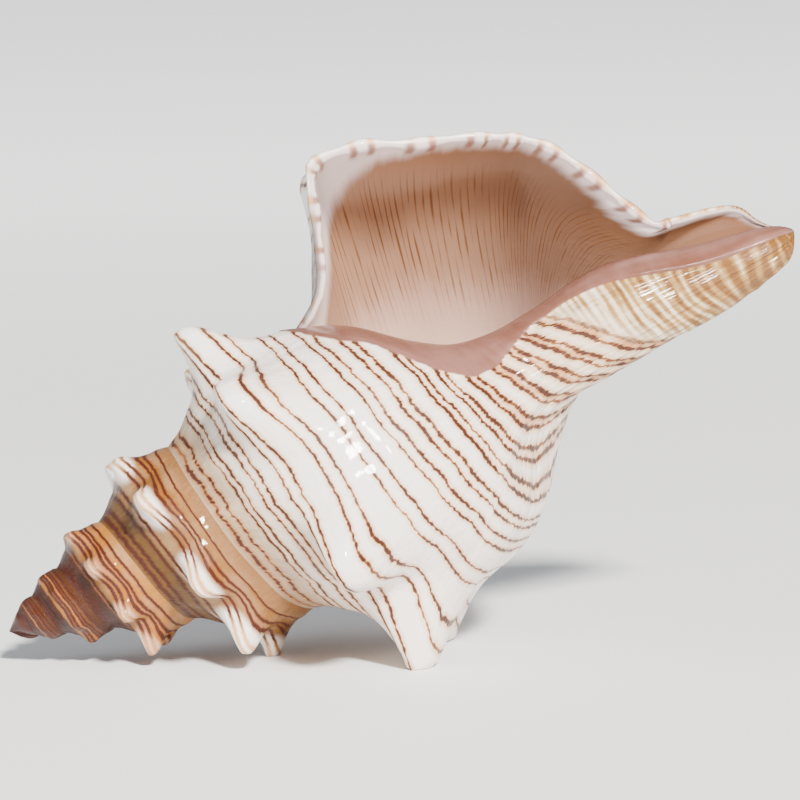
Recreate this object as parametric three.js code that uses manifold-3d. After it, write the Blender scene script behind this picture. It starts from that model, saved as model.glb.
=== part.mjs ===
// A conch shell grown as one closed body: a knobbed spire, a body whorl with a flared outer lip,
// a wide aperture and an open canal. It rests on three shoulder knobs, aperture to the front.
// Lengths are in mm. While it is built, +Z runs from the apex to the tip of the canal, the shell
// grows anticlockwise about +Z, and t counts turns from the lip (t = 0), negative towards the apex.
import * as THREE from 'three';
import { mergeVertices } from 'three/addons/utils/BufferGeometryUtils.js';
import Module from 'manifold-3d';

const LENGTH = 150;        // apex to canal tip
const GROWTH = 1.67;       // size of a whorl against the one before it
const VANISH = -2.5;       // where the spiral would vanish on the axis, measured from the apex
const TURNS = 5.5;         // turns from the apex to the lip
const WALL = 2.4;          // thickness of the outer wall
const LEAN = 0.018;        // turns by which the middle of the lip runs ahead of its ends
const DEPTH = 0.7;         // turns that the hollow reaches back from the lip
const KNOB = 15;           // height of a shoulder knob at the size of the lip
const REST_UP = [0.8945, 0.1076, 0.434];   // upwards, once the shell lies on its knobs
const REST_CENTRE = [-67.57, -8.38, 5.784];   // then moves it over the origin, knob tips under ground

// Knobs of each whorl, the last whorl first, as [degrees from the plane of the lip, share of KNOB].
// The last one is cut off by the lip.
const KNOB_ROWS = [
  [[4, 1], [50, 1], [111, 1], [157, 0.98], [204, 0.99], [248, 1], [291, 0.85], [332, 0.4]],
  [[14, 0.7], [56, 0.9], [104, 1], [143, 1], [190, 0.9], [240, 1], [285, 0.95], [324, 0.85]],
  [[22, 0.85], [68, 1], [113, 1], [152, 1.15], [202, 0.95], [246, 1], [290, 1.05], [332, 0.9]],
  [[18, 0.9], [66, 1], [116, 1.1], [164, 1.1], [208, 1], [250, 0.9], [292, 1], [334, 1]],
  [[18, 1], [66, 1], [114, 1], [162, 1], [206, 1], [250, 1], [292, 1], [334, 1]],
];
const LAST_KNOB = [24, 0.35];
// the first whorls are nearly smooth
const KNOB_GROWTH_T = [-TURNS, -4.3, -3.3, -2.5], KNOB_GROWTH = [0, 0.2, 0.5, 1];

// Profiles of the last whorl as [radius, height], from its upper suture over the ramp (1, 2), the
// shoulder (3), the side and the next suture (6), the base (7 to 10) and the neck to the canal tip.
const STATION_T = [-1, -0.75, -0.5, -0.25, 0];
const STATIONS = [
  [[15.6, 38.5], [17.5, 41.2], [21, 45.4], [23.8, 49.8], [25, 54.8], [24.8, 60.7], [23.1, 66.5],
    [19.4, 74.6], [13.6, 80.4], [9.5, 86.6], [7.8, 94.6], [8.2, 104],
    [9.6, 117.5], [5.6, 133], [2.1, 145.6], [0, 150]],
  [[17, 41], [19.2, 44.2], [23.1, 48.9], [26.4, 55.2], [27.6, 61.4], [26.9, 68.4], [25, 75.2],
    [20.5, 83.6], [15.8, 88.8], [11.4, 93.7], [9.2, 99.5], [8.8, 108],
    [8.6, 119], [6.6, 133], [3.8, 147.8], [0, 150]],
  [[19.6, 47.8], [21.6, 51.2], [25.6, 56.5], [28.9, 62.9], [30.1, 69.4], [29.2, 77], [26.4, 84.8],
    [21.3, 90.8], [15.4, 94], [11, 97.7], [8.6, 102.6], [8.1, 111.5],
    [7.5, 122], [6.9, 136], [3.8, 147.8], [0, 150]],
  [[21.6, 57], [24.3, 60.7], [30, 66.5], [35.2, 73], [37, 79.7], [36.4, 87.8], [33.3, 97],
    [27.7, 103.9], [21.9, 107.4], [16.4, 111], [11.9, 115.6], [9.8, 122],
    [8.8, 129], [7.6, 138], [3.8, 147.8], [0, 150]],
  [[23.1, 66.5], [26.9, 71.9], [36.9, 76.8], [47.6, 81.4], [47.6, 89.6], [43.4, 99.5], [39.2, 110.5],
    [33.5, 119], [28.2, 122.6], [20.8, 126], [13.2, 129.4], [11.6, 133],
    [10.2, 139], [7.8, 143.8], [3.2, 146.4], [0, 150]],
];
const KNOTS = [0, 0.035, 0.1, 0.17, 0.235, 0.33, 0.42, 0.5, 0.55, 0.6, 0.66, 0.73, 0.81, 0.9, 0.965, 1];
const SUTURE = 6, SHOULDER = 3;
const cut = KNOTS[SUTURE], edgeWidth = 0.022;
// how far towards the canal the hollow reaches, t turns from the lip
const HOLLOW_T = [-1, -0.5, -0.3, -0.2, -0.1, 0], HOLLOW_Z = [84, 100, 111, 120, 133, 150];

// mesh steps: around one turn, suture to suture, over the lip's edge, suture to canal tip
const AROUND = 40, ACROSS = 11, EDGE = 2, BELOW = 16;

const size = (t) => GROWTH ** t;
const smooth = (x) => { const c = Math.min(Math.max(x, 0), 1); return c * c * (3 - 2 * c); };
const bell = (x, width, power = 2) => Math.exp(-((Math.abs(x) / width) ** power));

const sum = (a, b, f = 1) => a.map((v, k) => v + b[k] * f);
const blend = (a, b, x) => a.map((v, k) => v * (1 - x) + b[k] * x);

// straight-line interpolation of rows ys at xs
function between(x, xs, ys) {
  if (x <= xs[0]) return ys[0];
  for (let i = 1; i < xs.length; i++) {
    if (x <= xs[i]) return ys[i - 1] + (ys[i] - ys[i - 1]) * (x - xs[i - 1]) / (xs[i] - xs[i - 1]);
  }
  return ys[ys.length - 1];
}

// smooth curve through points (arrays of equal length) at the given knots
function curve(knots, points, x) {
  const n = knots.length, dim = points[0].length, out = [];
  let i = 0;
  while (i < n - 2 && x >= knots[i + 1]) i++;
  const h = (k) => knots[k + 1] - knots[k];
  const u = (x - knots[i]) / h(i), u2 = u * u, u3 = u2 * u;
  for (let c = 0; c < dim; c++) {
    const slope = (k) => (points[k + 1][c] - points[k][c]) / h(k);
    const inner = (k) => (slope(k - 1) * h(k) + slope(k) * h(k - 1)) / (h(k) + h(k - 1));
    const grade = (k) => {
      if (k === 0) return slope(0) * 1.5 - inner(1) * 0.5;
      if (k === n - 1) return slope(n - 2) * 1.5 - inner(n - 2) * 0.5;
      return inner(k);
    };
    out.push((2 * u3 - 3 * u2 + 1) * points[i][c] + (u3 - 2 * u2 + u) * grade(i) * h(i)
      + (3 * u2 - 2 * u3) * points[i + 1][c] + (u3 - u2) * grade(i + 1) * h(i));
  }
  return out;
}

// profile points at t; a whorl of the spire is cut off at the next suture, unless cutOff is false
const unitStations = STATIONS.map((station, k) =>
  station.flatMap(([r, z]) => [r / size(STATION_T[k]), (z - VANISH) / size(STATION_T[k])]));
function profilePoints(t, cutOff = true) {
  const flat = curve(STATION_T, unitStations, Math.min(Math.max(t, -1), 0));
  const widen = 1 + 0.03 * Math.min(Math.max(-1 - t, 0), 4);
  const points = KNOTS.map((_, k) => [flat[2 * k] * size(t) * widen, flat[2 * k + 1] * size(t) + VANISH]);
  if (cutOff && t < -1) {
    const shift = sum(profilePoints(t + 1)[0], points[SUTURE], -1);
    [0.3, 0.7, 1].forEach((f, k) => { points[SUTURE - 2 + k] = sum(points[SUTURE - 2 + k], shift, f); });
  }
  return points;
}

const knobs = KNOB_ROWS.flatMap((row, k) => row.map(([angle, share]) => [angle - 360 * (k + 1), share]));
knobs.push(LAST_KNOB);
knobs.sort((a, b) => a[0] - b[0]);

// share of KNOB at t, with the share of the gap between knobs that each one is wide
function knobHeight(t, width) {
  let best = 0;
  knobs.forEach(([angle, share], k) => {
    const [before] = knobs[Math.max(k - 1, 0)], [after] = knobs[Math.min(k + 1, knobs.length - 1)];
    const gap = (after - before) / (k > 0 && k < knobs.length - 1 ? 2 : 1);
    best = Math.max(best, share * bell(t * 360 - angle, width * gap, 2.3));
  });
  return best * between(t, KNOB_GROWTH_T, KNOB_GROWTH);
}

// how far the broad fold and the nose of a knob move a profile point
function knobLift(t, s) {
  const x = s - KNOTS[SHOULDER] - 0.018;
  const fold = x < 0 ? bell(x, 0.05, 2.3) : 0.7 * bell(x, 0.09, 2.8) + 0.3 * bell(x, 0.2);
  const nose = bell(x, x < 0 ? 0.048 : 0.07, 3);
  const h = KNOB * size(t) * (0.58 * knobHeight(t, 0.32) * fold + 0.42 * knobHeight(t, 0.22) * nose);
  return [0.95 * h, -0.33 * h * bell(Math.min(x, 0), 0.04)];
}

// a profile point in space; growth lines lean forward between the sutures and back along the neck
function turned(t, s, [r, z]) {
  const lean = s < cut ? Math.sin(Math.PI * s / cut) : -0.4 * Math.sin(Math.PI * (s - cut) / (1 - cut));
  const angle = 2 * Math.PI * (t + LEAN * lean);
  return [r * Math.cos(angle), r * Math.sin(angle), z];
}

const vertices = [], triangles = [];
const add = (p) => vertices.push(p) - 1;
function triangle(a, b, c) {
  if (a !== b && b !== c && a !== c) triangles.push(a, b, c);
}
// rows by columns of vertex indices; the side where row x column points is the outside
function patch(grid, flip = false) {
  for (let i = 0; i + 1 < grid.length; i++) {
    for (let j = 0; j + 1 < grid[i].length; j++) {
      const [a, b, c, d] = [grid[i][j], grid[i + 1][j], grid[i + 1][j + 1], grid[i][j + 1]];
      if (flip) { triangle(a, c, b); triangle(a, d, c); } else { triangle(a, b, c); triangle(a, c, d); }
    }
  }
}
const mean = (loop) => loop.reduce((a, v) => sum(a, vertices[v], 1 / loop.length), [0, 0, 0]);
function fan(centre, loop) {
  loop.forEach((v, k) => triangle(centre, loop[(k + 1) % loop.length], v));
}

const steps = Math.round(TURNS * AROUND), body = steps - AROUND;
const turnAt = (i) => (i - steps) / AROUND;
const across = [];
for (let j = 0; j <= ACROSS; j++) across.push(cut * j / ACROSS);
for (let j = 1; j <= EDGE; j++) across.push(cut + edgeWidth * j / EDGE);
for (let j = 1; j <= BELOW; j++) across.push(cut + edgeWidth + (1 - cut - edgeWidth) * j / BELOW);
const inside = across.slice(ACROSS + EDGE), last = across.length - 1;

// outer surface: each whorl's upper edge is shared with the lower edge of the whorl before it
function outerPoint(t, s) {
  let point = sum(curve(KNOTS, profilePoints(t), s), knobLift(t, s));
  if (t >= 1 - TURNS) point = sum(point, sum(knobLift(t - 1, cut), knobLift(t, 0), -1), bell(s, 0.03));
  return point;
}
const tip = add([0, 0, LENGTH]);
const outside = [];
for (let i = 0; i <= steps; i++) {
  const t = turnAt(i);
  outside.push(across.map((s, j) => {
    if (j === 0 && i >= AROUND) return outside[i - AROUND][ACROSS];
    if (j === last) return tip;
    return j <= ACROSS || i >= body ? add(turned(t, s, outerPoint(t, s))) : -1;
  }));
}
patch(outside.slice(0, body + 1).map((row) => row.slice(0, ACROSS + 1)));
patch(outside.slice(body));
fan(add([0, 0, 0.2]), outside.slice(0, AROUND + 1).map((row) => row[0]));
const start = [outside[0][0], ...outside[0].slice(1, ACROSS + 1).reverse()];
fan(add(mean(start)), start);

// hollow: its inner side is the whorl before, its outer side the outer surface less the wall
const back = Math.round(DEPTH * AROUND);
const innerGrid = [], outerGrid = [];
for (let i = steps - back; i <= steps; i++) {
  const t = turnAt(i), atLip = i === steps, end = between(t, HOLLOW_T, HOLLOW_Z);
  const column = inside.map((s) =>
    sum(curve(KNOTS, profilePoints(t - 1, false), s), knobLift(t - 1, s), smooth((t + 0.12) / 0.12)));
  const radii = column.map((p) => p[0]), heights = column.map((p) => p[1]);
  const bottom = atLip ? LENGTH : end;
  const inner = column.map(([, z]) => {
    const height = heights[0] + (bottom - heights[0]) * (z - heights[0]) / (LENGTH - heights[0]);
    return [between(height, heights, radii), height];
  });
  const innerEnd = inner[inner.length - 1];
  innerGrid.push(atLip ? outside[body].slice(ACROSS + EDGE)
    : inner.map((p, j) => add(turned(t - 1, inside[j], p))));

  const base = across.map((s) => curve(KNOTS, profilePoints(t), s));
  const thickness = WALL * between(t, [-DEPTH, -0.12, 0], [1.25, 1, 0.72]);
  const offset = base.map((p, j) => {
    const [dr, dz] = sum(base[Math.min(j + 1, last)], base[Math.max(j - 1, 0)], -1);
    const share = between(across[j], [0, 0.6, 0.75, 0.9, 1], [1, 1, 0.85, 0.7, 0]);
    const w = thickness * share / Math.hypot(dr, dz);
    return [p[0] - dz * w, p[1] + dr * w];
  });
  const sEnd = atLip ? 1 : between(end, base.map((p) => p[1]), across);
  outerGrid.push(across.map((s, j) => {
    if (j === 0) return innerGrid[innerGrid.length - 1][0];
    if (j === last) return atLip ? tip : innerGrid[innerGrid.length - 1][inside.length - 1];
    const along = s < 0.45 ? s : 0.45 + (s - 0.45) * (sEnd - 0.45) / 0.55;
    let p = [0, 1].map((c) => between(along, across, offset.map((q) => q[c])));
    p = blend(inner[0], p, smooth(s / 0.05));
    if (!atLip) p = blend(p, innerEnd, smooth((s - 0.88) / 0.12));
    if (!atLip && s > 0.3) {
      p[0] = Math.max(p[0], between(p[1], heights, radii) + 0.25 * smooth((1 - s) / 0.1));
    }
    return add(turned(t, s, p));
  }));
}
patch(innerGrid);
patch(outerGrid, true);
const deepLoop = outerGrid[0].concat(innerGrid[0].slice(1, -1).reverse());
fan(add(mean(deepLoop)), deepLoop);

// rounded edge of the lip, from the outer surface to the hollow
const rim = [];
for (let k = 0; k <= EDGE; k++) {
  rim.push(across.map((s, j) => {
    if (k === 0) return outside[steps][j];
    if (k === EDGE) return outerGrid[back][j];
    if (j === 0) return outside[body][ACROSS + k];
    if (j === last) return tip;
    const a = vertices[outside[steps][j]], b = vertices[outerGrid[back][j]];
    const bulge = 0.45 * Math.hypot(...sum(a, b, -1)) * Math.sin(Math.PI * k / EDGE);
    return add(sum(blend(a, b, k / EDGE), [0, bulge, 0]));
  }));
}
rim[0][0] = outside[body][ACROSS];
rim[EDGE][0] = outside[body][ACROSS + EDGE];
patch(rim);

// lay the shell on its knobs, aperture towards -Y and canal towards +X
const up = new THREE.Vector3(...REST_UP).normalize();
const rear = new THREE.Vector3(0, -1, 0);
rear.addScaledVector(up, -rear.dot(up)).normalize();
const right = new THREE.Vector3().crossVectors(rear, up);
const placed = vertices.map(([x, y, z]) => {
  const p = new THREE.Vector3(x, y, z);
  return [p.dot(right), p.dot(rear), p.dot(up)].map((v, k) => v + REST_CENTRE[k]);
});

// wear a small flat on each knob that touches the ground, and close the solid
const wasm = await Module();
wasm.setup();
const solid = (positions, index) => new wasm.Manifold(new wasm.Mesh({
  numProp: 3, vertProperties: new Float32Array(positions), triVerts: new Uint32Array(index),
}));
const ground = new THREE.BoxGeometry(2 * LENGTH, 2 * LENGTH, LENGTH).translate(0, 0, -LENGTH / 2);
ground.deleteAttribute('normal').deleteAttribute('uv');
const block = mergeVertices(ground);
const mesh = solid(placed.flat(), triangles)
  .subtract(solid(block.attributes.position.array, block.index.array)).getMesh();
const geometry = new THREE.BufferGeometry();
geometry.setAttribute('position', new THREE.BufferAttribute(new Float32Array(mesh.vertProperties), 3));
geometry.setIndex(new THREE.BufferAttribute(new Uint32Array(mesh.triVerts), 1));
geometry.computeVertexNormals();

const shell = new THREE.Mesh(geometry, new THREE.MeshStandardMaterial({
  color: 0xf1e6d8, roughness: 0.25, metalness: 0,
}));
shell.name = 'shell';
const group = new THREE.Group();
group.add(shell);
export default group;
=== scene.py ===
# A conch shell lying on its shoulder knobs: knobbed spire, flared lip, pink aperture, open canal.
# The shell is grown in its own frame, in millimetres: +Z runs from the apex to the canal tip and it
# turns anticlockwise about +Z. t counts turns from the lip (0), negative towards the apex. s runs
# across a whorl from its upper suture (0) over the shoulder to the canal tip (1).
import math

import bpy
import numpy as np
from mathutils import Matrix, Vector


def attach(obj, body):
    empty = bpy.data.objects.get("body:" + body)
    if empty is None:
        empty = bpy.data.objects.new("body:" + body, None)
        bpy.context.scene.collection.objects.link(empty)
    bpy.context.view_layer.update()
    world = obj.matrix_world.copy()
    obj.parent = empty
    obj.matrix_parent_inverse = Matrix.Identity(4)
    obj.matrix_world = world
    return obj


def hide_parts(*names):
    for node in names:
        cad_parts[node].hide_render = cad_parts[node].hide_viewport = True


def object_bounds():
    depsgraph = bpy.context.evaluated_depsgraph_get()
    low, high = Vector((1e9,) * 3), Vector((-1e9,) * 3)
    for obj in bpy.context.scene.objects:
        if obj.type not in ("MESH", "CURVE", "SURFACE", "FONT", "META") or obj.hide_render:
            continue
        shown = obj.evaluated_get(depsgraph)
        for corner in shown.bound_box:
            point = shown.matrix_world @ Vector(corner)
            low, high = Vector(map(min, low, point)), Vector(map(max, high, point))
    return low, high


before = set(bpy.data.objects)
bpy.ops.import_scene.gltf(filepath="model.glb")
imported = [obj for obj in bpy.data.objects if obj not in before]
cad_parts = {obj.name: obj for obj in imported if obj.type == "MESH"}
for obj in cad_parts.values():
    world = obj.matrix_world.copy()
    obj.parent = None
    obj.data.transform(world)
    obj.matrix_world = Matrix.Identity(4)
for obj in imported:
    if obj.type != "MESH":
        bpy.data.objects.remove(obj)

cad_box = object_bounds()
MM = 0.001

LENGTH = 150.0        # apex to canal tip
GROWTH = 1.67         # size of a whorl against the one before it
VANISH = -2.5         # where the spiral would vanish on the axis, measured from the apex
TURNS = 5.5           # turns from the apex to the lip
WALL = 2.4            # thickness of the outer wall
LEAN = 0.018          # turns by which the middle of the lip runs ahead of its ends
DEPTH = 0.7           # turns that the hollow reaches back from the lip
KNOB = 15.0           # height of a shoulder knob at the size of the lip
KNOB_BELOW = 0.018    # how far across a whorl the knobs stand below the shoulder
GLAZE_FADE = 0.012    # turns over which the glaze thins out at its edge
LIP_FADE = 0.012      # turns over which the lip's teeth fade behind it
REST_UP = (0.8945, 0.1076, 0.434)        # upwards, once the shell lies on its knobs
REST_CENTRE = (-67.57, -8.38, 5.784)     # then moves it over the origin

# Knobs of each whorl, the last whorl first, as (degrees from the plane of the lip, share of KNOB).
# The last one is cut off by the lip.
KNOB_ROWS = [
    [(4, 1.0), (50, 1.0), (111, 1.0), (157, 0.98), (204, 0.99), (248, 1.0), (291, 0.85), (332, 0.4)],
    [(14, 0.7), (56, 0.9), (104, 1.0), (143, 1.0), (190, 0.9), (240, 1.0), (285, 0.95), (324, 0.85)],
    [(22, 0.85), (68, 1.0), (113, 1.0), (152, 1.15), (202, 0.95), (246, 1.0), (290, 1.05), (332, 0.9)],
    [(18, 0.9), (66, 1.0), (116, 1.1), (164, 1.1), (208, 1.0), (250, 0.9), (292, 1.0), (334, 1.0)],
    [(18, 1.0), (66, 1.0), (114, 1.0), (162, 1.0), (206, 1.0), (250, 1.0), (292, 1.0), (334, 1.0)],
]
LAST_KNOB = (24, 0.35)
# the first whorls are nearly smooth
KNOB_GROWTH_T = [-TURNS, -4.3, -3.3, -2.5]
KNOB_GROWTH = [0.0, 0.2, 0.5, 1.0]

# Profiles of the last whorl as (radius, height), from its upper suture over the ramp (1, 2), the
# shoulder (3), the side and the next suture (6), the base (7 to 10) and the neck to the canal tip.
STATION_T = np.array([-1, -0.75, -0.5, -0.25, 0])
STATIONS = np.array([
    [(15.6, 38.5), (17.5, 41.2), (21.0, 45.4), (23.8, 49.8), (25.0, 54.8), (24.8, 60.7),
     (23.1, 66.5), (19.4, 74.6), (13.6, 80.4), (9.5, 86.6), (7.8, 94.6), (8.2, 104.0),
     (9.6, 117.5), (5.6, 133.0), (2.1, 145.6), (0, 150)],
    [(17.0, 41.0), (19.2, 44.2), (23.1, 48.9), (26.4, 55.2), (27.6, 61.4), (26.9, 68.4),
     (25.0, 75.2), (20.5, 83.6), (15.8, 88.8), (11.4, 93.7), (9.2, 99.5), (8.8, 108.0),
     (8.6, 119.0), (6.6, 133.0), (3.8, 147.8), (0, 150)],
    [(19.6, 47.8), (21.6, 51.2), (25.6, 56.5), (28.9, 62.9), (30.1, 69.4), (29.2, 77.0),
     (26.4, 84.8), (21.3, 90.8), (15.4, 94.0), (11.0, 97.7), (8.6, 102.6), (8.1, 111.5),
     (7.5, 122.0), (6.9, 136.0), (3.8, 147.8), (0, 150)],
    [(21.6, 57.0), (24.3, 60.7), (30.0, 66.5), (35.2, 73.0), (37.0, 79.7), (36.4, 87.8),
     (33.3, 97.0), (27.7, 103.9), (21.9, 107.4), (16.4, 111.0), (11.9, 115.6), (9.8, 122.0),
     (8.8, 129.0), (7.6, 138.0), (3.8, 147.8), (0, 150)],
    [(23.1, 66.5), (26.9, 71.9), (36.9, 76.8), (47.6, 81.4), (47.6, 89.6), (43.4, 99.5),
     (39.2, 110.5), (33.5, 119.0), (28.2, 122.6), (20.8, 126.0), (13.2, 129.4), (11.6, 133.0),
     (10.2, 139.0), (7.8, 143.8), (3.2, 146.4), (0, 150)],
])
KNOTS = np.array([0, 0.035, 0.1, 0.17, 0.235, 0.33, 0.42, 0.5, 0.55, 0.6, 0.66, 0.73, 0.81, 0.9,
                  0.965, 1])
SUTURE = 6
SHOULDER = 3
CUT = KNOTS[SUTURE]
EDGE_WIDTH = 0.022
# how far towards the canal the hollow reaches, t turns from the lip
HOLLOW_T = [-1, -0.5, -0.3, -0.2, -0.1, 0]
HOLLOW_Z = [84, 100, 111, 120, 133, 150]

# edge of the pink glaze on the outside, in turns past the plane of the lip
GLAZE_S = [0.38, 0.41, 0.45, 0.48, 0.53, 0.57, 0.62, 0.66, 0.70, 0.76, 0.80, 0.86, 0.93, 1.0]
GLAZE_T = [0.00, 0.06, 0.11, 0.125, 0.195, 0.23, 0.222, 0.185, 0.14, 0.115, 0.13, 0.17, 0.235, 0.25]

# mesh steps: around one turn, suture to suture, over the lip's edge, suture to canal tip
AROUND = 240
ACROSS = 30
EDGE = 6
BELOW = 64

# the photograph's framing: the apex's pixel, the scale, and the shell's axis in the picture
IMAGE = 800
APEX_PIXEL = (8, 632)
PIXEL = 0.170                 # mm
AXIS_TILT = 27.0              # degrees that the axis rises to the right
CAMERA_DISTANCE = 800.0       # mm


def smooth(x):
    x = np.clip(x, 0, 1)
    return x * x * (3 - 2 * x)


def bell(x, width, power=2):
    return np.exp(-(np.abs(x) / width) ** power)


def size(t):
    return GROWTH ** np.asarray(t, float)


def curve(knots, points, x):
    """Smooth curve through points (..., knots, values) at the given knots."""
    step = np.diff(knots)
    slope = (points[..., 1:, :] - points[..., :-1, :]) / step[:, None]
    before, after = step[:-1, None], step[1:, None]
    grade = np.empty_like(points)
    grade[..., 1:-1, :] = (slope[..., :-1, :] * after + slope[..., 1:, :] * before) / (after + before)
    grade[..., 0, :] = slope[..., 0, :] * 1.5 - grade[..., 1, :] * 0.5
    grade[..., -1, :] = slope[..., -1, :] * 1.5 - grade[..., -2, :] * 0.5
    i = np.clip(np.searchsorted(knots, x, side="right") - 1, 0, len(knots) - 2)
    u = ((x - knots[i]) / step[i])[:, None]
    h = step[i][:, None]
    return ((2 * u**3 - 3 * u**2 + 1) * points[..., i, :] + (u**3 - 2 * u**2 + u) * grade[..., i, :] * h
            + (3 * u**2 - 2 * u**3) * points[..., i + 1, :] + (u**3 - u**2) * grade[..., i + 1, :] * h)


ORIGIN = np.array([0, VANISH])
UNIT_STATIONS = (STATIONS - ORIGIN) / size(STATION_T)[:, None, None]


def profile_points(t, cut_off=True):
    """Profile points at t; a whorl of the spire is cut off at the next suture."""
    t = np.atleast_1d(np.asarray(t, float))
    flat = curve(STATION_T, UNIT_STATIONS.reshape(len(STATION_T), -1), np.clip(t, -1, 0))
    points = flat.reshape(len(t), -1, 2) * size(t)[:, None, None] + ORIGIN
    points[..., 0] *= 1 + 0.03 * np.clip(-1 - t, 0, 4)[:, None]
    spire = t < -1
    if cut_off and spire.any():
        shift = profile_points(t[spire] + 1)[:, 0] - points[spire, SUTURE]
        for j, share in ((SUTURE - 2, 0.3), (SUTURE - 1, 0.7), (SUTURE, 1.0)):
            points[spire, j] += shift * share
    return points


def profile(t, s, cut_off=True):
    return curve(KNOTS, profile_points(t, cut_off), s)


def knob_height(t, width):
    """Share of KNOB at t, with the share of gap between knobs that each one is wide."""
    knobs = [(angle - 360 * (k + 1), share) for k, row in enumerate(KNOB_ROWS) for angle, share in row]
    angles, shares = np.array(sorted(knobs) + [LAST_KNOB], float).T
    gaps = np.gradient(angles)
    height = np.max(shares * bell(t[:, None] * 360 - angles, width * gaps, 2.3), axis=1)
    return height * np.interp(t, KNOB_GROWTH_T, KNOB_GROWTH)


def knob_lift(t, s):
    """How far the knobs and the folds below them move a profile point, as (radius, height)."""
    x = s - KNOTS[SHOULDER] - KNOB_BELOW
    fold = np.where(x < 0, bell(x, 0.05, 2.3), 0.7 * bell(x, 0.09, 2.8) + 0.3 * bell(x, 0.2))
    nose = bell(x, np.where(x < 0, 0.048, 0.07), 3)
    h = 0.58 * knob_height(t, 0.32)[:, None] * fold + 0.42 * knob_height(t, 0.22)[:, None] * nose
    h *= KNOB * size(t)[:, None]
    return np.stack([0.95 * h, -0.33 * h * bell(np.minimum(x, 0), 0.04)], -1)


def turned(t, s, rz):
    """Profile points in space; growth lines lean forward between sutures and back along the neck."""
    lean = np.where(s < CUT, np.sin(np.pi * s / CUT), -0.4 * np.sin(np.pi * (s - CUT) / (1 - CUT)))
    angle = 2 * np.pi * (np.asarray(t)[:, None] + LEAN * lean)
    return np.stack([rz[..., 0] * np.cos(angle), rz[..., 0] * np.sin(angle), rz[..., 1]], -1)


class Skin:
    """Collects points with their place on the spiral and what covers them, and the faces."""

    def __init__(self):
        self.points, self.turn, self.across, self.glaze, self.wall = [], [], [], [], []
        self.relief, self.edge, self.nose = [], [], []
        self.count = 0
        self.faces, self.spiral = [], []

    def add(self, points, t, s, glaze=0.0, wall=0.0, relief=0.0, edge=0.0, nose=0.0):
        shape = points.shape[:-1]
        self.points.append(points.reshape(-1, 3))
        for store, value in ((self.turn, t), (self.across, s), (self.glaze, glaze), (self.wall, wall),
                             (self.relief, relief), (self.edge, edge), (self.nose, nose)):
            store.append(np.broadcast_to(value, shape).reshape(-1))
        ids = self.count + np.arange(int(np.prod(shape))).reshape(shape)
        self.count += ids.size
        return ids

    def patch(self, ids, t, s, flip=False):
        """Quads over a grid of ids; the side where row x column points is the outside."""
        t = np.broadcast_to(t, ids.shape)
        s = np.broadcast_to(s, ids.shape)
        order = ((0, 0), (1, 0), (1, 1), (0, 1))
        if flip:
            order = order[::-1]
        rows, columns = ids.shape[0] - 1, ids.shape[1] - 1
        corners = [tuple(a[i:i + rows, j:j + columns].ravel() for a in (ids, t, s)) for i, j in order]
        for k in range(rows * columns):
            face, spiral = [], []
            for which, turn, across in corners:
                if int(which[k]) not in face:
                    face.append(int(which[k]))
                    spiral.append((turn[k], across[k]))
            if len(face) > 2:
                self.faces.append(face)
                self.spiral.extend(spiral)

    def fan(self, centre, loop, t, s):
        """Triangles from a centre point to a closed loop."""
        for k, vertex in enumerate(loop):
            self.faces.append([int(centre), int(loop[(k + 1) % len(loop)]), int(vertex)])
            self.spiral.extend([(t, s)] * 3)

    def middle(self, loop, t, s, glaze=0.0):
        """Adds the point in the middle of a loop of points."""
        return self.add(np.concatenate(self.points)[loop].mean(0)[None], t, s, glaze)[0]


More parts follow.
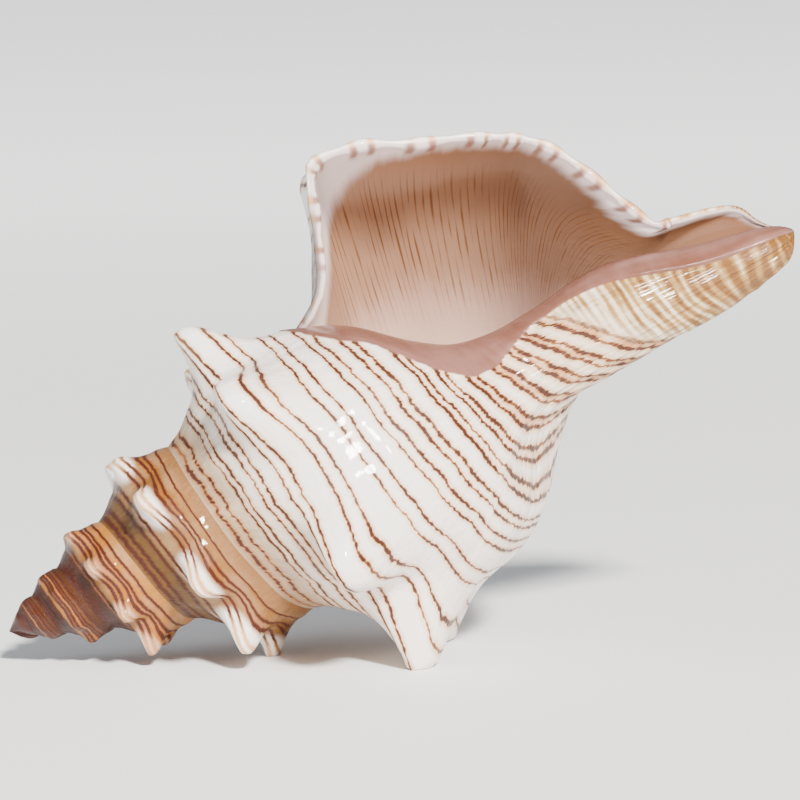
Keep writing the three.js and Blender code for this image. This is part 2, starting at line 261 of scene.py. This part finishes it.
def grow_shell():
    """The whole shell as one closed skin, in its own frame."""
    skin = Skin()
    steps = round(TURNS * AROUND)
    body = steps - AROUND
    t = (np.arange(steps + 1) - steps) / AROUND
    s = np.concatenate([
        np.linspace(0, CUT, ACROSS + 1),
        CUT + EDGE_WIDTH * np.arange(1, EDGE + 1) / EDGE,
        np.linspace(CUT + EDGE_WIDTH, 1, BELOW + 1)[1:],
    ])
    last = len(s) - 1
    inside = s[ACROSS + EDGE:]

    # outer surface: each whorl's upper edge is shared with the lower edge of the whorl before it
    lift = knob_lift(t, s)
    rz = profile(t, s) + lift
    rz[AROUND:] += (lift[:-AROUND, ACROSS] - lift[AROUND:, 0])[:, None] * bell(s, 0.03)[None, :, None]
    space = turned(t, s, rz)
    glaze_edge = np.interp(s, GLAZE_S, GLAZE_T)
    glaze = smooth((glaze_edge[None] - t[:, None] - 1) / GLAZE_FADE) * (t[:, None] > -1.001) * (s > 0.38)
    lower = np.where(t < -1, CUT, 1)[:, None]
    relief = smooth(s / 0.03) * smooth((lower - s) / 0.03) * (1 - glaze) * smooth((t[:, None] + TURNS) / 0.5)
    edge = bell(t[:, None], LIP_FADE) * np.ones(last + 1)
    nose = knob_height(t, 0.33)[:, None] * bell(s - KNOTS[SHOULDER] - 0.024, 0.065)
    ids = -np.ones((steps + 1, last + 1), int)
    whole = slice(1, ACROSS + 1)
    ids[:AROUND, 0] = skin.add(space[:AROUND, 0], t[:AROUND], 0)
    ids[:body + 1, whole] = skin.add(space[:body + 1, whole], t[:body + 1, None], s[whole],
                                     relief=relief[:body + 1, whole], nose=nose[:body + 1, whole])
    ids[AROUND:, 0] = ids[:steps + 1 - AROUND, ACROSS]
    ids[body + 1:, 1:last] = skin.add(space[body + 1:, 1:last], t[body + 1:, None], s[1:last],
                                      glaze[body + 1:, 1:last], 0.0, relief[body + 1:, 1:last],
                                      edge[body + 1:, 1:last], nose[body + 1:, 1:last])
    ids[body, ACROSS + 1:last] = skin.add(space[body:body + 1, ACROSS + 1:last], -1,
                                          s[ACROSS + 1:last], 1.0)[0]
    tip = skin.add(np.array([[0, 0, LENGTH]]), -0.5, 1, 0.5)[0]
    ids[body:, last] = tip
    skin.patch(ids[:body + 1, :ACROSS + 1], t[:body + 1, None], s[:ACROSS + 1])
    skin.patch(ids[body:], t[body:, None], s)

    # apex
    top = skin.add(np.array([[0, 0, 0.2]]), -TURNS, 0)[0]
    skin.fan(top, ids[:AROUND + 1, 0], -TURNS, 0)
    start = np.concatenate([ids[0, :1], ids[0, 1:ACROSS + 1][::-1]])
    skin.fan(skin.middle(start, -TURNS, 0.2), start, -TURNS, 0.2)

    # inner side of the hollow: the whorl before, down to the hollow's end
    back = round(DEPTH * AROUND)
    td = t[steps - back:]
    end = np.interp(td, HOLLOW_T, HOLLOW_Z)
    near = smooth((td + 0.12) / 0.12)[:, None, None]
    column = profile(td - 1, inside, cut_off=False) + near * knob_lift(td - 1, inside)
    inner = column.copy()
    for i in range(back):
        share = (column[i, :, 1] - column[i, 0, 1]) / (column[i, -1, 1] - column[i, 0, 1])
        inner[i, :, 1] = column[i, 0, 1] + share * (end[i] - column[i, 0, 1])
        inner[i, :, 0] = np.interp(inner[i, :, 1], column[i, :, 1], column[i, :, 0])
    inner_ids = np.empty((back + 1, len(inside)), int)
    inner_ids[:-1] = skin.add(turned(td[:-1] - 1, inside, inner[:-1]), td[:-1, None] - 1, inside, 1.0)
    inner_ids[-1] = ids[body, ACROSS + EDGE:]
    skin.patch(inner_ids, td[:, None] - 1, inside)

    # outer side of the hollow: the outer surface less the wall
    base = profile(td, s)
    along = np.gradient(base, axis=1)
    along /= np.linalg.norm(along, axis=-1, keepdims=True)
    inwards = np.stack([-along[..., 1], along[..., 0]], -1)
    thickness = (WALL * np.interp(s, [0, 0.6, 0.75, 0.9, 1], [1, 1, 0.85, 0.7, 0])[None]
                 * np.interp(td, [-DEPTH, -0.12, 0], [1.25, 1, 0.72])[:, None])
    offset = base + inwards * thickness[..., None]
    outer = offset.copy()
    for i in range(back):
        s_end = np.interp(end[i], base[i, :, 1], s)
        squeezed = np.where(s < 0.45, s, 0.45 + (s - 0.45) * (s_end - 0.45) / 0.55)
        for c in range(2):
            outer[i, :, c] = np.interp(squeezed, s, offset[i, :, c])
    start_share = smooth(s / 0.05)[None, :, None]
    outer = inner[:, :1] * (1 - start_share) + outer * start_share
    end_share = smooth((s - 0.88) / 0.12)[:, None]
    for i in range(back):
        outer[i] = outer[i] * (1 - end_share) + inner[i, -1] * end_share
        least = np.interp(outer[i, :, 1], column[i, :, 1], column[i, :, 0])
        least += 0.25 * smooth((1 - s) / 0.1)
        outer[i, :, 0] = np.maximum(outer[i, :, 0], np.where(s > 0.3, least, 0))
    hollow = turned(td, s, outer)
    outer_ids = np.empty((back + 1, last + 1), int)
    outer_ids[:, 1:last] = skin.add(hollow[:, 1:last], td[:, None], s[1:last], 1.0, 1.0, 0.0,
                                    bell(td[:, None], LIP_FADE))
    outer_ids[:, 0] = inner_ids[:, 0]
    outer_ids[:, last] = inner_ids[:, -1]
    skin.patch(outer_ids, td[:, None], s, flip=True)

    # rounded edge of the lip
    a, b = space[steps, 1:last], hollow[-1, 1:last]
    gap = np.linalg.norm(a - b, axis=-1)
    rim = np.empty((EDGE + 1, last + 1), int)
    rim[0] = ids[steps]
    rim[EDGE] = outer_ids[-1]
    rim[:, 0] = ids[body, ACROSS:ACROSS + EDGE + 1]
    rim[:, last] = tip
    for k in range(1, EDGE):
        turn = math.pi * k / EDGE
        across = (1 - math.cos(turn)) / 2
        edge = a * (1 - across) + b * across
        edge[:, 1] += gap * 0.5 * math.sin(turn)
        rim[k, 1:last] = skin.add(edge, 0, s[1:last], across, across, 0.0, 1.0)
    skin.patch(rim, 0, s)

    # closed end deep inside
    deep = np.concatenate([outer_ids[0], inner_ids[0, 1:-1][::-1]])
    skin.fan(skin.middle(deep, -DEPTH, 0.5, 1.0), deep, -DEPTH, 0.5)
    return skin


def resting_axes():
    up = Vector(REST_UP).normalized()
    rear = Vector((0, -1, 0))
    rear = (rear - up * rear.dot(up)).normalized()
    return np.array([rear.cross(up), rear, up])


AXES = resting_axes()


def rested(points):
    """Points of the shell's own frame as the shell lies on the ground, in metres."""
    return (points @ AXES.T + np.array(REST_CENTRE)) * MM


def shell_mesh():
    """The shell before its relief, with its spiral as a UV map and the rest as attributes."""
    skin = grow_shell()
    points = rested(np.concatenate(skin.points))
    points[:, 2] = np.maximum(points[:, 2], 0)      # the knobs it lies on are worn flat
    mesh = bpy.data.meshes.new("conch_shell")
    mesh.from_pydata(points.tolist(), [], skin.faces)
    spiral = mesh.uv_layers.new(name="spiral")
    spiral.data.foreach_set("uv", np.array(skin.spiral, np.float32).ravel())
    for name in ("turn", "across", "glaze", "wall", "relief", "edge", "nose"):
        values = np.concatenate(getattr(skin, name)).astype(np.float32)
        mesh.attributes.new(name, "FLOAT", "POINT").data.foreach_set("value", values)
    mesh.polygons.foreach_set("use_smooth", [True] * len(mesh.polygons))
    mesh.update()
    return mesh


class Signal:
    """A number that varies over the surface: a node's output. Arithmetic on it adds Math nodes."""

    def __init__(self, graph, socket):
        self.graph = graph
        self.socket = socket

    def math(self, operation, *others):
        node = self.graph.tree.nodes.new("ShaderNodeMath")
        node.operation = operation
        for socket, value in zip(node.inputs, (self, *others)):
            self.graph.feed(socket, value)
        return Signal(self.graph, node.outputs[0])

    def __add__(self, other):
        return self.math("ADD", other)

    def __sub__(self, other):
        return self.math("SUBTRACT", other)

    def __mul__(self, other):
        return self.math("MULTIPLY", other)

    def __truediv__(self, other):
        return self.math("DIVIDE", other)

    def __neg__(self):
        return self * -1.0

    def __rsub__(self, other):
        return self * -1.0 + other

    def step(self, low, high, start=0.0, end=1.0):
        """Eases from start to end as the signal goes from low to high."""
        if low > high:
            low, high, start, end = high, low, end, start
        node = self.graph.tree.nodes.new("ShaderNodeMapRange")
        node.interpolation_type = "SMOOTHSTEP"
        for socket, value in zip(node.inputs, (self, low, high, start, end)):
            self.graph.feed(socket, value)
        return Signal(self.graph, node.outputs[0])

    def curve(self, points):
        """Straight lines through (x, y) points, both from 0 to 1."""
        node = self.graph.tree.nodes.new("ShaderNodeFloatCurve")
        line = node.mapping.curves[0].points
        while len(line) < len(points):
            line.new(0.5, 0.5)
        for handle, place in zip(line, points):
            handle.location = place
            handle.handle_type = "VECTOR"
        node.mapping.update()
        self.graph.feed(node.inputs["Value"], self)
        return Signal(self.graph, node.outputs[0])

    def ramp(self, *stops):
        """Colour ramp through (place, colour) stops."""
        node = self.graph.tree.nodes.new("ShaderNodeValToRGB")
        node.color_ramp.interpolation = "EASE"
        elements = node.color_ramp.elements
        while len(elements) < len(stops):
            elements.new(0.5)
        for element, (place, colour) in zip(elements, stops):
            element.position = place
            element.color = (*colour, 1)
        self.graph.feed(node.inputs[0], self)
        return node.outputs[0]


class Graph:
    """Adds nodes to a shader or geometry tree."""

    def __init__(self, tree):
        self.tree = tree

    def feed(self, socket, value):
        if isinstance(value, Signal):
            value = value.socket
        if isinstance(value, bpy.types.NodeSocket):
            self.tree.links.new(value, socket)
        else:
            socket.default_value = value

    def node(self, kind, inputs=None, **settings):
        node = self.tree.nodes.new(kind)
        for name, value in settings.items():
            setattr(node, name, value)
        for name, value in (inputs or {}).items():
            self.feed(node.inputs[name], value)
        return node

    def noise(self, x, y, z, detail=2.0, roughness=0.5):
        """Noise from about -1 to 1 over (x, y); another z gives another noise."""
        place = self.node("ShaderNodeCombineXYZ", {0: x, 1: y, 2: z})
        node = self.node("ShaderNodeTexNoise", {"Vector": place.outputs[0], "Scale": 1.0,
                                                "Detail": detail, "Roughness": roughness})
        return (Signal(self, node.outputs[0]) - 0.5) * 3.0

    def mix(self, share, a, b, mode="MIX"):
        """Colour a where share is 0, b where it is 1."""
        node = self.node("ShaderNodeMix", data_type="RGBA", blend_type=mode)
        for socket, value in zip((node.inputs[0], node.inputs[6], node.inputs[7]), (share, a, b)):
            if isinstance(value, tuple):
                value = (*value, 1)
            self.feed(socket, value)
        return node.outputs[2]

    def power(self, base, exponent):
        node = self.node("ShaderNodeMath", {0: base, 1: exponent}, operation="POWER")
        return Signal(self, node.outputs[0])

    def attribute(self, name):
        if self.tree.type == "GEOMETRY":
            node = self.node("GeometryNodeInputNamedAttribute", {"Name": name}, data_type="FLOAT")
            return Signal(self, node.outputs[0])
        node = self.node("ShaderNodeAttribute", attribute_type="GEOMETRY", attribute_name=name)
        return Signal(self, node.outputs["Fac"])


# The spiral lines run in pairs. PAIRS_LAST gives where each pair's middle lies across the last
# whorl, PAIRS_SPIRE where they lie on the whorls of the spire, which are cut off at the suture.
PAIRS_LAST = [0.022, 0.074, 0.121, 0.172, 0.250, 0.340, 0.4175, 0.460, 0.509, 0.545, 0.588, 0.643,
              0.694, 0.737, 0.782, 0.835, 0.90]
PAIRS_SPIRE = [0.030, 0.105, 0.215, 0.288, 0.378]
HALF_GAP = 0.175      # between a line and the middle of its pair, as a share of the pairs' spacing


def pair_count(across, middles):
    """Counts pairs across a whorl: whole numbers at the middle of a pair."""
    total = len(middles) + 1
    points = [(0, (1 - middles[0] / (middles[1] - middles[0])) / total)]
    points += [(place, (k + 1) / total) for k, place in enumerate(middles)]
    points.append((1, 1))
    return across.curve(points) * float(total)


# below the side of the last whorl the pairs drift towards the canal, by this much a turn
DRIFT = [(0, 0), (0.50, 0), (0.54, 0.08), (0.60, 0.18), (0.70, 0.28), (1, 0.28)]
DRIFT_FROM = -0.65    # PAIRS_LAST holds at this turn
DRIFT_TURNS = (-0.35, 0.22)    # the drift goes on for this many turns before and after it


def line_place(graph, t, s):
    """Where a point lies among the pairs, as their place across at DRIFT_FROM."""
    turned_on = (t - DRIFT_FROM).math("MAXIMUM", DRIFT_TURNS[0]).math("MINIMUM", DRIFT_TURNS[1])
    return s - s.curve(DRIFT) * turned_on


RELIEF = {                    # heights in mm at the size of the lip
    "Growth Fold": 0.55,
    "Growth Ridge": 0.30,
    "Spiral Cord": 0.22,
    "Lip Tooth": 0.3,
    "Glaze": 0.25,
    "Fasciole Ridge": 0.30,
}
SEED = 3.0
RELIEF_DROP = 0.6             # sinks the noisy relief, so that little of it rises past the solid
GROUND_FADE = 1.5             # mm above the ground over which the relief begins


def relief_tree():
    """Raises folds, growth ridges, spiral cords, lip teeth, fasciole ridges and the glaze."""
    tree = bpy.data.node_groups.new("shell_relief", "GeometryNodeTree")
    tree.interface.new_socket("Geometry", in_out="INPUT", socket_type="NodeSocketGeometry")
    for name in (*RELIEF, "Seed"):
        tree.interface.new_socket(name, in_out="INPUT", socket_type="NodeSocketFloat")
    tree.interface.new_socket("Geometry", in_out="OUTPUT", socket_type="NodeSocketGeometry")
    graph = Graph(tree)
    source = graph.node("NodeGroupInput")
    height = {name: Signal(graph, source.outputs[name]) for name in RELIEF}
    seed = Signal(graph, source.outputs["Seed"])

    turn, across, relief, edge, glaze = (graph.attribute(name) for name in
                                         ("turn", "across", "relief", "edge", "glaze"))
    scale = graph.power(GROWTH, turn)
    folds = graph.noise(turn * 15.0, across * 1.6, seed, 1.0)
    ridges = graph.noise(turn * 62.0, across * 4.0, seed, 2.0)
    pairs = pair_count(line_place(graph, turn, across), PAIRS_LAST)
    wave = (pairs * (2 * math.pi)).math("COSINE")
    cords = (wave * -0.5) * across.step(0.13, 0.22) * across.step(0.80, 0.70)
    teeth = wave * across.step(0.05, 0.12) * across.step(0.74, 0.68)
    lamellae = graph.noise(turn * 3.0, across * 110.0, seed, 1.0) * across.step(0.74, 0.82)
    outside = height["Growth Fold"] * (folds - RELIEF_DROP) + height["Growth Ridge"] * (ridges - RELIEF_DROP)
    outside = outside + height["Spiral Cord"] * cords + height["Fasciole Ridge"] * (lamellae - RELIEF_DROP)
    lift = outside * relief * scale + height["Lip Tooth"] * teeth * edge
    lift = lift + height["Glaze"] * glaze * (1.0 - graph.attribute("wall"))
    place = graph.node("ShaderNodeSeparateXYZ", {0: graph.node("GeometryNodeInputPosition").outputs[0]})
    off_ground = Signal(graph, place.outputs[2]).step(0.0, GROUND_FADE * MM)
    offset = graph.node("ShaderNodeVectorMath", {0: graph.node("GeometryNodeInputNormal").outputs[0]},
                        operation="SCALE")
    graph.feed(offset.inputs["Scale"], lift * off_ground * MM)
    moved = graph.node("GeometryNodeSetPosition", {"Geometry": source.outputs[0],
                                                   "Offset": offset.outputs[0]})
    real = graph.node("GeometryNodeRealizeInstances", {"Geometry": moved.outputs[0]})
    painted = graph.node("GeometryNodeSetMaterial", {"Geometry": real.outputs[0],
                                                     "Material": shell_material()})
    graph.node("NodeGroupOutput", {"Geometry": painted.outputs[0]})
    return tree


WHITE = (0.88, 0.81, 0.755)
TAN_LINE = (0.30, 0.10, 0.018)
DARK_LINE = (0.052, 0.010, 0.004)
BETWEEN_LINES = (0.52, 0.25, 0.07)
LINE_GLOW = (0.80, 0.43, 0.14)
MARGIN_WHITE = (0.94, 0.81, 0.79)
SPOT_BROWN = (0.24, 0.075, 0.03)
LIRA_BROWN = (0.14, 0.05, 0.013)
FASCIOLE_ARCS = 96.0          # growth arcs, as if they ran over the whole profile
LIRAE = 95.0                  # fine brown lines inside, likewise
MARGIN_WIDTH = 0.15           # turns that a margin of width 1 reaches back from the lip
GRAIN = 0.12                  # mm, depth of the fine bump


def outside_ground(graph, t, s, clouds, pairs):
    """The colour under the lines: white on the last whorl, warmer and darker towards the apex."""
    last = s.ramp((0.0, (0.34, 0.23, 0.14)), (0.045, (0.46, 0.34, 0.23)), (0.075, (0.70, 0.62, 0.54)),
                  (0.14, WHITE), (0.5, WHITE), (0.8, (0.80, 0.70, 0.56)))
    last = graph.mix(clouds.step(0.0, 1.0, 0.0, 0.6), last, (0.80, 0.60, 0.42))
    # painted shade: the ramp just behind the lip is darkened to a bluish grey, standing in for the shadow it
    # lies in
    last = graph.mix(s.step(0.15, 0.09) * t.step(-0.30, -0.15), last, (0.22, 0.19, 0.19))
    tint = graph.noise(t * 13.0, pairs * 0.9, 7.0, 1.0)
    nose = graph.attribute("nose") + clouds * 0.08
    peach = graph.mix(tint.step(-0.5, 0.5), (0.23, 0.092, 0.010), (0.30, 0.155, 0.070))
    second = graph.mix(s.step(0.09, 0.13), (0.12, 0.058, 0.012), (0.30, 0.17, 0.07))
    second = graph.mix(s.step(0.155, 0.20), second, peach)
    second = graph.mix(s.step(0.36, 0.42), second, (0.22, 0.095, 0.028))
    second = graph.mix(nose.step(0.15, 0.45), second, (0.94, 0.88, 0.84))
    gold = graph.mix(tint.step(-0.4, 0.6), (0.34, 0.13, 0.010), (0.37, 0.18, 0.075))
    third = graph.mix(s.step(0.085, 0.12), (0.045, 0.014, 0.004), (0.22, 0.10, 0.03))
    third = graph.mix(s.step(0.14, 0.19), third, gold)
    third = graph.mix(nose.step(0.30, 0.65), third, (0.66, 0.50, 0.40))
    fourth = graph.mix(s.step(0.10, 0.15), (0.012, 0.004, 0.001), (0.34, 0.15, 0.03))
    fourth = graph.mix(s.step(0.26, 0.36), fourth, (0.06, 0.016, 0.002))
    fourth = graph.mix(nose.step(0.30, 0.60), fourth, (0.46, 0.26, 0.13))
    zone = t + clouds * 0.06
    ground = graph.mix(zone.step(-1.0, -1.35), last, second)
    ground = graph.mix(zone.step(-2.05, -2.45), ground, third)
    ground = graph.mix(zone.step(-3.1, -3.5), ground, fourth)
    return graph.mix(zone.step(-4.7, -5.3), ground, (0.16, 0.062, 0.006))


def fasciole_colour(graph, t, s):
    """Cream, gold and brown growth arcs across the canal's outside, browner at its tip."""
    warp = graph.noise(s * 14.0, t * 3.0, 8.0, 1.0) * 0.9
    arcs = ((s * FASCIOLE_ARCS + warp) * (2 * math.pi)).math("COSINE") * 0.30
    arcs = arcs + graph.noise(s * 75.0, t * 3.0, 9.0, 2.0, 0.6) * 0.7 + s.step(0.80, 1.0, 0.15, 0.85)
    arcs = arcs + graph.noise(t * 60.0, s * 14.0, 10.0, 1.0) * 0.2
    return arcs.step(-1.0, 1.3).ramp((0.0, (0.84, 0.76, 0.66)), (0.36, (0.66, 0.52, 0.34)),
                                     (0.60, (0.36, 0.20, 0.06)), (0.9, (0.19, 0.075, 0.014)))


def outside_colour(graph, t, s):
    """Paired red-brown lines, beaded and haloed, over the outside's ground colour."""
    kinks = graph.noise(t * 24.0, s * 2.0, 1.0) * 0.006 + graph.noise(t * 150.0, s * 9.0, 2.0) * 0.0028
    spire = t.step(-1.08, -1.45)
    s_line = line_place(graph, t, s) + kinks * t.step(-0.9, -2.2, 1.0, 1.4)
    reach = 0.004

    def count(place):
        last, early = pair_count(place, PAIRS_LAST), pair_count(place, PAIRS_SPIRE)
        return last + (early - last) * spire

    pairs = count(s_line)
    slope = (count(s_line + reach) - pairs) / reach
    nearest = (pairs + 0.5).math("FLOOR")
    beside = pairs - nearest
    which = nearest * 2.0 + beside.math("GREATER_THAN", 0.0)
    gap = (beside.math("ABSOLUTE") - HALF_GAP).math("ABSOLUTE") / slope

    width = graph.power(1.5, -t) * s.step(0.5, 0.62, 0.0018, 0.0027)
    strong = graph.noise(t * 18.0, which * 3.7, 3.0, 1.0)
    beads = graph.noise(t * 170.0, which * 5.1, 4.0, 2.0, 0.6)
    heavy = (strong * 0.5 + beads * 0.6 + t.step(-0.8, -1.6, 0.0, 0.7)).step(-0.9, 0.9)
    ragged = graph.noise(t * 420.0, s * 60.0, 5.0, 1.0)
    wide = width * (heavy * 1.5 + 0.40 + ragged * 0.25)
    nose = graph.attribute("nose").step(0.35, 0.75) * t.step(-0.9, -1.2)
    line = (gap / wide).step(1.3, 0.6) * t.step(-0.003, -0.012) * (1.0 - nose * 0.85)
    halo = (gap / width).step(5.0, 0.6) * heavy.step(0.0, 0.8, 0.4, 1.0)
    line_colour = graph.mix(heavy.step(0.15, 0.6), TAN_LINE, DARK_LINE)

    s_band = s + kinks * 0.8
    clouds = graph.noise(t * 7.0, s * 5.0, 6.0)
    ground = outside_ground(graph, t, s_band, clouds, pairs)
    spiral_lines = s_line.step(0.83, 0.78)
    between = beside.math("ABSOLUTE").step(HALF_GAP * 1.3, HALF_GAP * 0.8) * s.step(0.53, 0.62)
    ground = graph.mix(between * strong.step(-0.8, 0.4, 0.1, 0.75) * spiral_lines, ground, BETWEEN_LINES)
    colour = graph.mix(halo * 0.85 * spiral_lines, ground, LINE_GLOW, "MULTIPLY")
    colour = graph.mix(line * spiral_lines * 0.98, colour, line_colour)
    return graph.mix(s_line.step(0.775, 0.83), colour, fasciole_colour(graph, t, s))


def inside_colour(graph, t, s, wall):
    """Tan inside the aperture, with fine brown lines and a white, spotted margin along the lip."""
    depth = -t
    cloud = graph.noise(t * 9.0, s * 6.0, 11.0)
    streaks = graph.noise(t * 10.0, s * 60.0, 12.0)
    margin = s.curve([(0, 0.55), (0.06, 0.75), (0.13, 0.68), (0.2, 0.42), (0.28, 0.18), (0.36, 0.05),
                      (0.5, 0.05), (0.62, 0.16), (0.7, 0.13), (0.8, 0.05), (1, 0.04)]) * MARGIN_WIDTH
    rim = (depth + cloud * 0.008 + streaks * 0.005 - margin).step(0.016, -0.012)
    body = (depth + streaks * 0.008).ramp((0.0, (0.42, 0.22, 0.13)), (0.02, (0.30, 0.135, 0.065)),
                                          (0.06, (0.34, 0.165, 0.088)), (0.145, (0.36, 0.20, 0.125)),
                                          (0.20, (0.55, 0.35, 0.27)), (0.26, (0.72, 0.52, 0.43)))
    fine = (s * (LIRAE * 2 * math.pi) + graph.noise(t * 12.0, s * 40.0, 13.0, 1.0) * 1.6).math("COSINE")
    dashes = graph.noise(t * 26.0, (s * LIRAE).math("ROUND") * 4.3, 14.0, 1.0)
    lira = (fine + dashes * 0.6).step(0.55, 1.25) * depth.step(0.03, 0.08) * depth.step(0.205, 0.15)
    lira = lira * s.step(0.10, 0.18) * s.step(0.82, 0.72)
    # painted shade: the inside is darkened towards the canal side of the whorl, less so deep in, standing in
    # for the shadow of the lip
    shade = s.step(0.33, 0.52) * depth.step(0.42, 0.25, 0.35, 0.8)
    body = graph.mix(shade, body, (0.52, 0.50, 0.52), "MULTIPLY")
    colour = graph.mix(lira * 0.85, body, LIRA_BROWN)
    colour = graph.mix(rim, colour, MARGIN_WHITE)
    pairs = pair_count(line_place(graph, t, s), PAIRS_LAST)
    beside = (pairs - (pairs + 0.5).math("FLOOR")).math("ABSOLUTE") - HALF_GAP
    spot = beside.math("ABSOLUTE").step(0.12, 0.02) * depth.step(0.022, 0.008) * s.step(0.03, 0.08)
    spot = spot * s.step(0.76, 0.70)
    colour = graph.mix(spot * 0.85, colour, SPOT_BROWN)
    lilac = graph.mix((cloud + streaks * 0.3).step(-0.5, 0.7), (0.15, 0.058, 0.036), (0.25, 0.118, 0.095))
    return graph.mix(wall, lilac, colour)


def shell_material():
    """Polished shell, painted along its spiral."""
    material = bpy.data.materials.new("polished_shell")
    material.use_nodes = True
    graph = Graph(material.node_tree)
    shader = material.node_tree.nodes["Principled BSDF"]
    spiral = graph.node("ShaderNodeUVMap", uv_map="spiral")
    parts = graph.node("ShaderNodeSeparateXYZ", {0: spiral.outputs[0]})
    t, s = Signal(graph, parts.outputs[0]), Signal(graph, parts.outputs[1])
    glaze, wall = graph.attribute("glaze"), graph.attribute("wall")
    colour = graph.mix(glaze.step(0.3, 0.7), outside_colour(graph, t, s), inside_colour(graph, t, s, wall))
    graph.feed(shader.inputs["Base Color"], colour)

    grain = graph.noise(t * 420.0, s * 14.0, 21.0, 3.0, 0.6) * 0.5
    grain = grain + graph.noise(t * 120.0, s * 40.0, 22.0, 2.0)
    fine = graph.noise(t * 60.0, s * 420.0, 23.0, 2.0) * 0.4
    bump = graph.node("ShaderNodeBump", {"Height": (grain + fine) * glaze.step(0.3, 0.8, 1.0, 0.2),
                                         "Distance": GRAIN * MM, "Strength": 0.75})
    graph.feed(shader.inputs["Normal"], bump.outputs[0])
    rough = graph.noise(t * 30.0, s * 25.0, 24.0, 2.0) * 0.05 + glaze.step(0.2, 0.8, 0.36, 0.22)
    graph.feed(shader.inputs["Roughness"], rough)
    shader.inputs["Specular IOR Level"].default_value = 0.22
    shader.inputs["Coat Weight"].default_value = 0.2
    shader.inputs["Coat Roughness"].default_value = 0.07
    return material


def make_shell():
    """The finished shell: its relief applied, as one plain mesh."""
    rough = bpy.data.objects.new("rough_shell", shell_mesh())
    bpy.context.scene.collection.objects.link(rough)
    relief = rough.modifiers.new("relief", "NODES")
    relief.node_group = relief_tree()
    heights = {**RELIEF, "Seed": SEED}
    for item in relief.node_group.interface.items_tree:
        if item.name in heights:
            relief[item.identifier] = heights[item.name]
    bpy.context.view_layer.update()
    mesh = bpy.data.meshes.new_from_object(rough.evaluated_get(bpy.context.evaluated_depsgraph_get()))
    bpy.data.objects.remove(rough)
    mesh.name = "conch_shell"
    points = np.empty(len(mesh.vertices) * 3, np.float32)
    mesh.vertices.foreach_get("co", points)
    points = np.clip(points.reshape(-1, 3), *cad_box)      # the relief stays in the solid's box
    mesh.vertices.foreach_set("co", points.ravel())
    mesh.update()
    shell = bpy.data.objects.new("conch_shell", mesh)
    bpy.context.scene.collection.objects.link(shell)
    return shell


shell = make_shell()


TILT = math.radians(AXIS_TILT)
RIGHT = np.array([-math.sin(TILT), 0, math.cos(TILT)])
UP = np.array([math.cos(TILT), 0, math.sin(TILT)])
VIEWER = np.array([0, 1, 0])
ACROSS_TO_CENTRE = (IMAGE / 2 - APEX_PIXEL[0]) * PIXEL
DOWN_TO_CENTRE = (IMAGE / 2 - APEX_PIXEL[1]) * PIXEL
AIM = RIGHT * ACROSS_TO_CENTRE - UP * DOWN_TO_CENTRE


def in_picture(right, up, near):
    """A place in the world, given in mm from the middle of the photograph."""
    return Vector(rested(AIM + RIGHT * right + UP * up + VIEWER * near))


def make_camera():
    turn = Matrix([Vector(AXES @ v) for v in (RIGHT, UP, VIEWER)]).transposed()
    data = bpy.data.cameras.new("camera")
    data.sensor_width = 36
    data.lens = data.sensor_width * CAMERA_DISTANCE / (IMAGE * PIXEL)
    data.clip_end = 100
    camera = bpy.data.objects.new("camera", data)
    camera.matrix_world = Matrix.Translation(in_picture(0, 0, CAMERA_DISTANCE)) @ turn.to_4x4()
    bpy.context.scene.collection.objects.link(camera)
    bpy.context.scene.camera = camera


FLOOR_HALF = 20.0              # metres, half the floor's side
FLOOR_GLOW = 1.1
GLOW_FROM, GLOW_TO = 0.15, 1.5    # metres from the middle over which the floor's glow begins


def make_floor():
    """Pale floor that glows softly away from the shell."""
    data = bpy.data.meshes.new("floor")
    corners = [(x * FLOOR_HALF, y * FLOOR_HALF, 0) for x, y in ((-1, -1), (1, -1), (1, 1), (-1, 1))]
    data.from_pydata(corners, [], [(0, 1, 2, 3)])
    floor = bpy.data.objects.new("floor", data)
    bpy.context.scene.collection.objects.link(floor)
    paint = bpy.data.materials.new("floor_paint")
    paint.use_nodes = True
    shader = paint.node_tree.nodes["Principled BSDF"]
    shader.inputs["Base Color"].default_value = (0.92, 0.92, 0.92, 1)
    shader.inputs["Roughness"].default_value = 0.7
    shader.inputs["Emission Color"].default_value = (1, 1, 1, 1)
    graph = Graph(paint.node_tree)
    place = graph.node("ShaderNodeTexCoord").outputs["Object"]
    distance = graph.node("ShaderNodeVectorMath", {0: place}, operation="LENGTH").outputs["Value"]
    glow = Signal(graph, distance).step(GLOW_FROM, GLOW_TO, 0.0, FLOOR_GLOW)
    graph.feed(shader.inputs["Emission Strength"], glow)
    data.materials.append(paint)


def area_light(name, place, width, watts, colour):
    """Square soft light, aimed at the middle of the shell."""
    data = bpy.data.lights.new(name, "AREA")
    data.size = width
    data.energy = watts
    data.color = colour
    lamp = bpy.data.objects.new(name, data)
    lamp.location = place
    lamp.rotation_euler = (in_picture(0, 0, 0) - place).to_track_quat("-Z", "Y").to_euler()
    bpy.context.scene.collection.objects.link(lamp)


# each light as its place in the picture (mm right, up and near), width in metres, watts and colour
LIGHTS = {
    "key": ((900, 1800, 3300), 0.45, 560, (1.0, 0.96, 0.91)),
    "fill": ((-900, 500, 300), 0.8, 4, (0.80, 0.90, 1.0)),
}
SKY = (0.93, 0.96, 1.0)
SKY_STRENGTH = 0.36


def make_surroundings():
    world = bpy.data.worlds.new("studio")
    world.use_nodes = True
    background = world.node_tree.nodes["Background"]
    background.inputs["Color"].default_value = (*SKY, 1)
    background.inputs["Strength"].default_value = SKY_STRENGTH
    bpy.context.scene.world = world


make_camera()
make_floor()
for name, (place, width, watts, colour) in LIGHTS.items():
    area_light(name, in_picture(*place), width, watts, colour)
make_surroundings()

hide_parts("shell")
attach(shell, "root")
